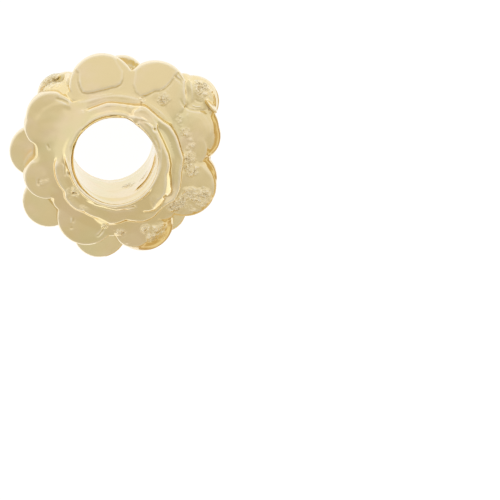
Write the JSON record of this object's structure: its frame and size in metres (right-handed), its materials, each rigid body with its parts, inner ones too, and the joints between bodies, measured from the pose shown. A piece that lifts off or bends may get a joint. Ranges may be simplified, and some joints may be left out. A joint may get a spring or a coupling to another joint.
{
  "type": "flower spacer bead",
  "caption": "Cast gold-tone metal spacer bead: staggered front and back rows of rounded petals round a wide straight bore, with a wavy collar at each end.",
  "frame": {"origin": "centre of the bore, halfway between the faces of the two collars", "axes": "+Z along the bore, out of the face that the picture shows; +X and +Y to the right and up in the picture"},
  "size_m": [0.0116, 0.0116, 0.006],
  "materials": {
    "gold_tone_metal": "polished cast metal with a pale gold tone, grainy in the recesses"
  },
  "bodies": {
    "root": {"flower_bead": "gold_tone_metal"}
  },
  "joints": []
}
